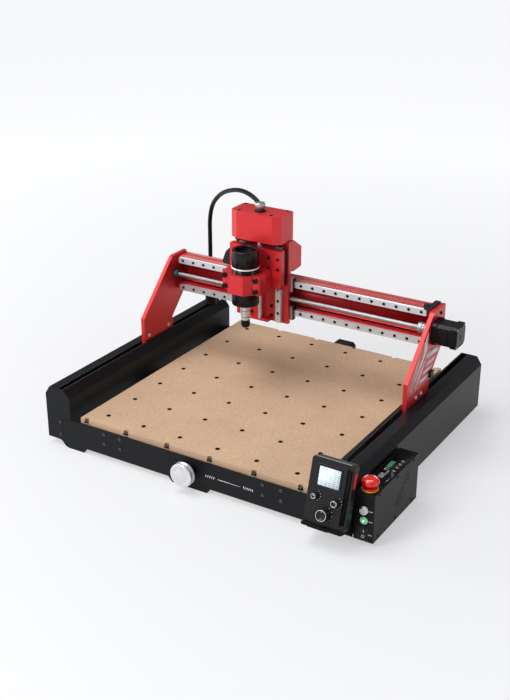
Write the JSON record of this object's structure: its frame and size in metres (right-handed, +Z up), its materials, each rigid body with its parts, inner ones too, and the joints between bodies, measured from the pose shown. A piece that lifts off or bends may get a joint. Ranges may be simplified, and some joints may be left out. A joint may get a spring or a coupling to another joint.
{
  "type": "desktop cnc router",
  "caption": "Desktop CNC router with a fixed bed, a travelling gantry with a red beam, a spindle on a Z slide, a control box and a hand pendant.",
  "frame": {"origin": "on the floor under the middle of the machine's bounding box, cable left out", "axes": "+X along the gantry beam towards the control box, +Y from the front panel to the rear, +Z up"},
  "size_m": [0.6778, 0.6426, 0.4175],
  "materials": {
    "black_metal": "satin",
    "black_aluminium": "black anodised",
    "red_metal": "red anodised",
    "bare_aluminium": "satin",
    "steel": "ground",
    "spindle_shell": "satin",
    "board": "raw fibreboard",
    "black_plastic": "matte",
    "rubber": "matte",
    "red_plastic": "gloss",
    "green_plastic": "gloss"
  },
  "bodies": {
    "frame": {"left_side_rail": "black_aluminium", "right_side_rail": "black_aluminium", "front_panel": "black_metal", "rear_panel": "black_metal", "left_bed_profile": "bare_aluminium", "right_bed_profile": "bare_aluminium", "spoilboard": "board", "left_y_guide": "steel", "right_y_guide": "steel", "y_motor": "black_metal", "control_box": "black_metal", "control_box_cover": "black_metal", "pendant_cradle": "black_plastic"},
    "gantry": {"left_gantry_plate": "red_metal", "right_gantry_plate": "red_metal", "cross_plate": "black_aluminium", "y_nut": "steel", "left_y_block": "steel", "right_y_block": "steel", "x_beam": "red_metal", "upper_x_guide": "steel", "lower_x_guide": "steel", "x_end_bearing": "bare_aluminium", "x_motor": "black_metal", "x_end_stop": "black_plastic", "cable_boot": "rubber", "spindle_cable": "rubber"},
    "x_carriage": {"upper_left_x_block": "steel", "upper_right_x_block": "steel", "lower_left_x_block": "steel", "lower_right_x_block": "steel", "x_nut": "black_aluminium", "z_base_plate": "red_metal", "left_z_guide": "steel", "right_z_guide": "steel", "z_motor": "black_metal", "z_motor_housing": "red_metal", "rear_cover": "red_metal", "side_connector": "black_plastic", "cable_gland": "rubber"},
    "z_slide": {"left_z_block": "steel", "right_z_block": "steel", "z_slide_plate": "red_metal", "spindle_clamp": "red_metal", "clamp_cap": "red_metal", "spindle_body": "spindle_shell"},
    "spindle_rotor": {"spindle_shaft": "steel", "collet_nut": "spindle_shell"},
    "y_lead_screw": {"y_screw": "steel", "y_handwheel": "bare_aluminium"},
    "x_lead_screw": {"x_screw": "steel"},
    "z_lead_screw": {"z_screw": "steel", "z_knob": "bare_aluminium"},
    "stop_plunger": {"emergency_stop": "red_plastic"},
    "start_plunger": {"start_button": "green_plastic"},
    "rocker": {"power_rocker": "black_plastic"},
    "pendant": {"pendant_case": "black_plastic"},
    "left_knob": {"left_pendant_knob": "black_plastic"},
    "right_knob": {"right_pendant_knob": "black_plastic"},
    "wheel": {"jog_wheel": "black_plastic"}
  },
  "joints": [
    {"name": "gantry_travel", "type": "slide", "parent": "frame", "child": "gantry", "axis": [0, 1, 0], "range_m": [-0.22, 0.18]},
    {"name": "carriage_travel", "type": "slide", "parent": "gantry", "child": "x_carriage", "axis": [1, 0, 0], "range_m": [-0.14, 0.26], "deforming": ["spindle_cable"]},
    {"name": "spindle_travel", "type": "slide", "parent": "x_carriage", "child": "z_slide", "axis": [0, 0, 1], "range_m": [-0.09, 0.003]},
    {"name": "spindle_turn", "type": "hinge", "parent": "z_slide", "child": "spindle_rotor", "pos_m": [-0.0874, 0.02731, 0.215], "axis": [0, 0, 1], "continuous": true},
    {"name": "y_screw_turn", "type": "hinge", "parent": "frame", "child": "y_lead_screw", "pos_m": [-0.0184, -0.26969, 0.0355], "axis": [0, 1, 0], "continuous": true},
    {"name": "x_screw_turn", "type": "hinge", "parent": "gantry", "child": "x_lead_screw", "pos_m": [-0.0184, 0.09731, 0.231], "axis": [1, 0, 0], "continuous": true},
    {"name": "z_screw_turn", "type": "hinge", "parent": "x_carriage", "child": "z_lead_screw", "pos_m": [-0.0874, 0.08031, 0.3], "axis": [0, 0, 1], "continuous": true},
    {"name": "emergency_stop_press", "type": "slide", "parent": "frame", "child": "stop_plunger", "axis": [0, 0, -1], "range_m": [0, 0.004], "stiffness_N_per_m": 1500, "springref_m": -0.002},
    {"name": "start_press", "type": "slide", "parent": "frame", "child": "start_plunger", "axis": [0, 1, 0], "range_m": [0, 0.002], "stiffness_N_per_m": 600, "springref_m": -0.001},
    {"name": "rocker_tip", "type": "hinge", "parent": "frame", "child": "rocker", "pos_m": [0.3211, -0.26769, 0.0217], "axis": [1, 0, 0], "range_deg": [0, 14]},
    {"name": "pendant_lift", "type": "slide", "parent": "frame", "child": "pendant", "axis": [0, 0.284, 0.9588], "range_m": [0, 0.12]},
    {"name": "left_knob_turn", "type": "hinge", "parent": "pendant", "child": "left_knob", "pos_m": [0.2486, -0.29834, 0.08486], "axis": [0, -0.9588, 0.284], "range_deg": [-150, 150]},
    {"name": "right_knob_turn", "type": "hinge", "parent": "pendant", "child": "right_knob", "pos_m": [0.2856, -0.29919, 0.08199], "axis": [0, -0.9588, 0.284], "range_deg": [-150, 150]},
    {"name": "jog_wheel_turn", "type": "hinge", "parent": "pendant", "child": "wheel", "pos_m": [0.2686, -0.30586, 0.05946], "axis": [0, -0.9588, 0.284], "continuous": true}
  ],
  "couplings": [
    {"joint": "y_screw_turn", "follows": "gantry_travel", "rad_per_m": 785.4},
    {"joint": "x_screw_turn", "follows": "carriage_travel", "rad_per_m": 785.4},
    {"joint": "z_screw_turn", "follows": "spindle_travel", "rad_per_m": 1570.8}
  ]
}
